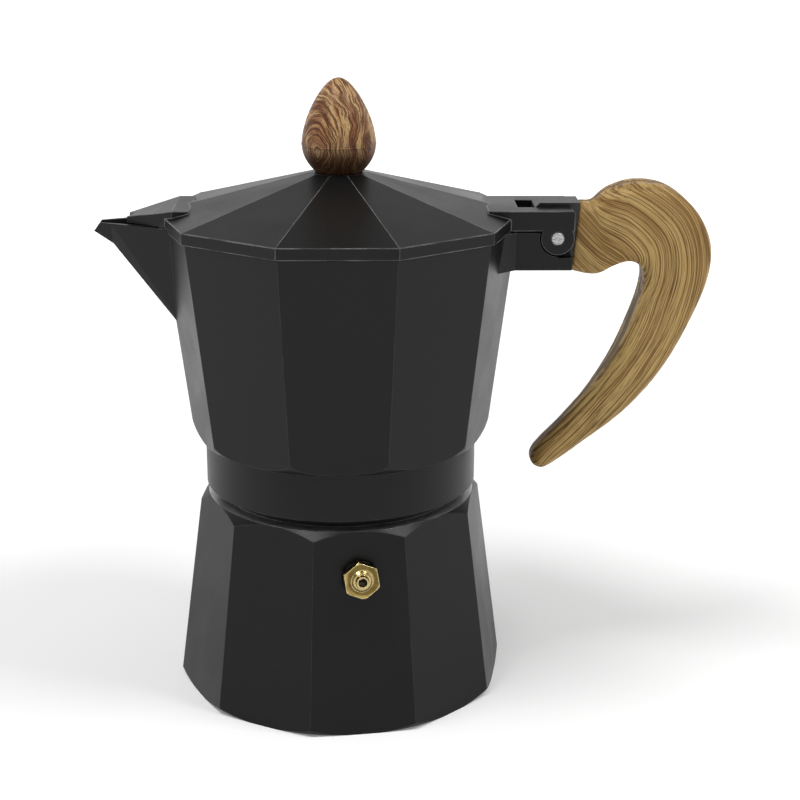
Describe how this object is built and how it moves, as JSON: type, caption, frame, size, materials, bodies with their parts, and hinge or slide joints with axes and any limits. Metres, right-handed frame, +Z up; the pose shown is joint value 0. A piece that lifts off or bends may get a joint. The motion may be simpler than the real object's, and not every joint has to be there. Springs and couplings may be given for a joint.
{
  "type": "stove-top moka pot",
  "caption": "Black ten-sided stove-top coffee pot with brass safety valve, hinged lid, pointed spout, egg knob and C-shaped wood-look handle.",
  "frame": {"origin": "centre of the flat foot of the boiler, on the hob", "axes": "+Z up, +X towards the handle, -X towards the spout, -Y the side with the safety valve"},
  "size_m": [0.1686, 0.0946, 0.1714],
  "materials": {
    "painted_shell": "satin black paint on cast aluminium",
    "brass": "turned, bright",
    "bare_metal": "plain, lightly brushed",
    "spring_steel": "drawn wire",
    "rubber_ring": "matt, off-white",
    "fibre_washer": "matt black fibre sheet",
    "knob_wood": "satin, dark brown swirled grain",
    "grip_wood": "satin, light tan with flowing brown grain",
    "black_plastic": "satin black"
  },
  "bodies": {
    "boiler_unit": {"boiler": "painted_shell", "valve_body": "brass", "valve_washer": "fibre_washer", "valve_seat": "brass", "valve_spring": "spring_steel"},
    "plunger": {"valve_plunger": "bare_metal"},
    "funnel": {"funnel_basket": "bare_metal", "funnel_screen": "bare_metal", "funnel_tube": "bare_metal"},
    "seal": {"gasket": "rubber_ring"},
    "strainer": {"filter_plate": "bare_metal"},
    "jug": {"upper_chamber": "painted_shell", "riser_column": "painted_shell", "riser_cap": "painted_shell", "hinge_pin": "bare_metal", "handle_core": "black_plastic", "handle_grip": "grip_wood"},
    "lid_unit": {"lid": "painted_shell", "lid_knob": "knob_wood", "knob_insert": "brass", "knob_screw": "spring_steel", "knob_washer": "bare_metal"}
  },
  "joints": [
    {"name": "funnel_lift", "type": "slide", "parent": "boiler_unit", "child": "funnel", "axis": [0, 0, 1], "range_m": [0, 0.072]},
    {"name": "top_lift", "type": "slide", "parent": "funnel", "child": "seal", "axis": [0, 0, 1], "range_m": [0, 0.06]},
    {"name": "screw_rise", "type": "slide", "parent": "seal", "child": "strainer", "axis": [0, 0, 1], "range_m": [0, 0.0046]},
    {"name": "top_unscrew", "type": "hinge", "parent": "strainer", "child": "jug", "pos_m": [0, 0, 0], "axis": [0, 0, 1], "range_deg": [0, 540]},
    {"name": "lid_hinge", "type": "hinge", "parent": "jug", "child": "lid_unit", "pos_m": [0.0587, 0, 0.13], "axis": [0, 1, 0], "range_deg": [0, 95]},
    {"name": "valve_plunger_slide", "type": "slide", "parent": "boiler_unit", "child": "plunger", "axis": [0.1346, -0.9828, 0.1267], "range_m": [0, 0.0008], "stiffness_N_per_m": 2000, "springref_m": -0.0025, "deforming": ["valve_spring"]}
  ],
  "couplings": [
    {"joint": "screw_rise", "follows": "top_unscrew", "m_per_rad": 0.00047746}
  ]
}
